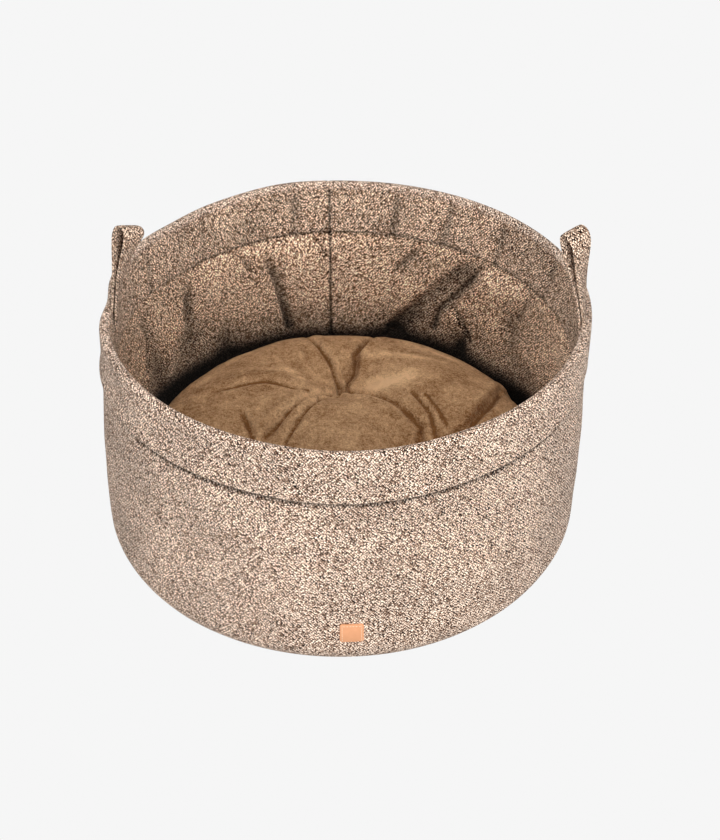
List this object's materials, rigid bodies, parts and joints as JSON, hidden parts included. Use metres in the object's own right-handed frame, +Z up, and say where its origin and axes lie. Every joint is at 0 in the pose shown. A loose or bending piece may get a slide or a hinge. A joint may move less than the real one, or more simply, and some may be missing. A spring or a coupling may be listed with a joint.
{
  "type": "pet bed basket",
  "caption": "Round soft-sided fabric pet bed basket with a folded rim band, a lift-out tufted cushion and two strap loop handles.",
  "frame": {"origin": "middle of the base, on the floor", "axes": "+Z up, +X towards the right handle, -Y towards the front with the leather tag"},
  "size_m": [0.496, 0.4985, 0.3607],
  "materials": {
    "tweed": "coarse flecked tweed, brown and cream",
    "tweed_shaded": "the same tweed, inside the basket",
    "foam": "foam sheet inside the wall",
    "board": "stiff base board",
    "velour": "short tan pile",
    "fibre": "loose fibre filling",
    "leather": "smooth tan leather",
    "thread": "sewing thread",
    "cord": "waxed tufting thread"
  },
  "bodies": {
    "basket": {"base_cover": "tweed_shaded", "base_board": "board", "floor_lining": "tweed_shaded", "outer_wall": "tweed", "wall_foam": "foam", "lining_wall": "tweed_shaded", "outer_band": "tweed", "inner_band": "tweed_shaded", "left_handle_tab": "tweed", "right_handle_tab": "tweed", "leather_tag": "leather", "tag_thread_left": "thread", "tag_thread_right": "thread"},
    "cushion": {"cushion_top_panel": "velour", "cushion_bottom_panel": "velour", "cushion_filling": "fibre", "tuft_tie_back": "cord", "tuft_tie_left": "cord", "tuft_tie_right": "cord"},
    "left_handle": {"left_handle_loop": "tweed"},
    "right_handle": {"right_handle_loop": "tweed"}
  },
  "joints": [
    {"name": "cushion_lift", "type": "slide", "parent": "basket", "child": "cushion", "axis": [0, 0, 1], "range_m": [0, 0.4]},
    {"name": "left_handle_flop", "type": "hinge", "parent": "basket", "child": "left_handle", "pos_m": [-0.23562, -0.00617, 0.2725], "axis": [-0.0262, 0.9997, 0], "range_deg": [-75, 70]},
    {"name": "right_handle_flop", "type": "hinge", "parent": "basket", "child": "right_handle", "pos_m": [0.23394, -0.02873, 0.2725], "axis": [-0.1219, -0.9925, 0], "range_deg": [-75, 70]}
  ]
}
